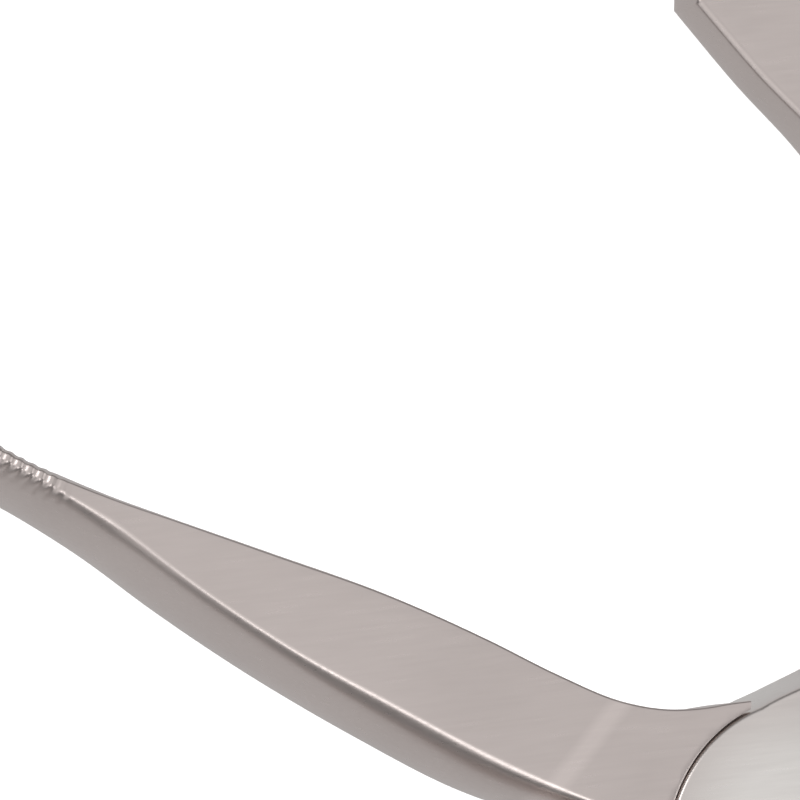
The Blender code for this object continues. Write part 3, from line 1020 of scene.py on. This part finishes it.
world = bpy.data.worlds.new("studio")
bpy.context.scene.world = world
world.use_nodes = True
tree = world.node_tree
tree.nodes.clear()
direction = tree.nodes.new("ShaderNodeTexCoord")
split = tree.nodes.new("ShaderNodeSeparateXYZ")
tree.links.new(direction.outputs["Generated"], split.inputs[0])
shift = tree.nodes.new("ShaderNodeMapRange")
shift.inputs["From Min"].default_value = -1.0
tree.links.new(split.outputs["Z"], shift.inputs["Value"])
ramp = tree.nodes.new("ShaderNodeValToRGB")
for stop, _ in ROOM_LEVELS[1:-1]:
    ramp.color_ramp.elements.new((stop + 1.0) / 2.0)
for element, (stop, level) in zip(ramp.color_ramp.elements, ROOM_LEVELS):
    element.position = (stop + 1.0) / 2.0
    element.color = (level, level, level, 1.0)
tree.links.new(shift.outputs["Result"], ramp.inputs["Fac"])
dome = tree.nodes.new("ShaderNodeBackground")
tree.links.new(ramp.outputs["Color"], dome.inputs["Color"])
backdrop = tree.nodes.new("ShaderNodeBackground")
backdrop.inputs["Color"].default_value = (1.0, 1.0, 1.0, 1.0)
rays = tree.nodes.new("ShaderNodeLightPath")
choose = tree.nodes.new("ShaderNodeMixShader")
tree.links.new(rays.outputs["Is Camera Ray"], choose.inputs["Fac"])
tree.links.new(dome.outputs[0], choose.inputs[1])
tree.links.new(backdrop.outputs[0], choose.inputs[2])
output = tree.nodes.new("ShaderNodeOutputWorld")
tree.links.new(choose.outputs[0], output.inputs["Surface"])
print("room levels:", ROOM_LEVELS)

# %% [markdown]
# ## Lamps
# A soft box is an area lamp without a shadow, turned to face the joint. Each is given by
# its direction, its width and height in metres and its power.

# %% Suns and soft boxes
SUN_AZIMUTHS = (20.0, 140.0, 260.0)
SUN_TILT = math.radians(25.0)
SUN_SPREAD = math.radians(40.0)
SUN_STRENGTH = 1.15
SOFTBOX_DISTANCE = 0.9
SOFTBOXES = (
    ("ridge_softbox", -82.0, 40.0, 0.5, 0.25, 0.75),
    ("beak_softbox", 228.0, 57.0, 0.35, 0.6, 0.42),
    ("rim_softbox", 140.0, 40.0, 0.5, 0.3, 1.5),
    ("shoulder_softbox", 345.0, 64.0, 0.4, 0.3, 0.5),
)


def direction_at(azimuth, tilt):
    """Unit vector at an azimuth and a tilt from the vertical, in radians."""
    return Vector((math.sin(tilt) * math.cos(azimuth), math.sin(tilt) * math.sin(azimuth),
                   math.cos(tilt)))


def add_sun(name, azimuth):
    """A broad lamp for the table that the steel doesn't mirror."""
    deselect_all()
    bpy.ops.object.light_add(type="SUN", rotation=(SUN_TILT, 0, azimuth))
    lamp = bpy.context.active_object
    lamp.name = name
    lamp.data.energy = SUN_STRENGTH
    lamp.data.angle = SUN_SPREAD
    lamp.data.use_shadow = False
    lamp.visible_glossy = False


def add_softbox(name, azimuth, tilt, width, height, power):
    """An area lamp that faces the joint."""
    offset = direction_at(azimuth, tilt)
    deselect_all()
    bpy.ops.object.light_add(type="AREA", location=offset * SOFTBOX_DISTANCE)
    lamp = bpy.context.active_object
    lamp.name = name
    lamp.data.shape = "RECTANGLE"
    lamp.data.size = width
    lamp.data.size_y = height
    lamp.data.energy = power
    lamp.data.use_shadow = False
    lamp.rotation_euler = offset.to_track_quat("Z", "Y").to_euler()


for number, azimuth in enumerate(SUN_AZIMUTHS):
    add_sun("table_lamp_%d" % number, math.radians(azimuth))
for name, azimuth, tilt, width, height, power in SOFTBOXES:
    add_softbox(name, math.radians(azimuth), math.radians(tilt), width, height, power)

# %% [markdown]
# ## Camera
# A long lens looks almost straight down on the handle, the shoulder and one beak, tilted
# towards the grips, so that the inner sides of the arms show as narrow bands.

# %% Camera
VIEW_TILT = math.radians(25.0)
VIEW_AZIMUTH = math.radians(188.06)
VIEW_ROLL = math.radians(8.2)
VIEW_DISTANCE = 0.4
VIEW_CENTRE = Vector((-21.07 * MM, 27.34 * MM, THICKNESS))
SENSOR_WIDTH = 36.0
LENS = 338.7

back = direction_at(VIEW_AZIMUTH, VIEW_TILT)
up_hint = Vector((math.sin(VIEW_ROLL), math.cos(VIEW_ROLL), 0.0))
right = (-back).cross(up_hint).normalized()
up = back.cross(right)
deselect_all()
bpy.ops.object.camera_add(location=VIEW_CENTRE + back * VIEW_DISTANCE)
camera = bpy.context.active_object
camera.rotation_euler = Matrix((right, up, back)).transposed().to_euler()
camera.data.sensor_width = SENSOR_WIDTH
camera.data.lens = LENS
camera.data.clip_start = 0.01
bpy.context.scene.camera = camera
bpy.context.scene.view_settings.view_transform = "Standard"
bpy.context.scene.view_settings.look = "None"
print("camera", [round(v, 4) for v in camera.location])
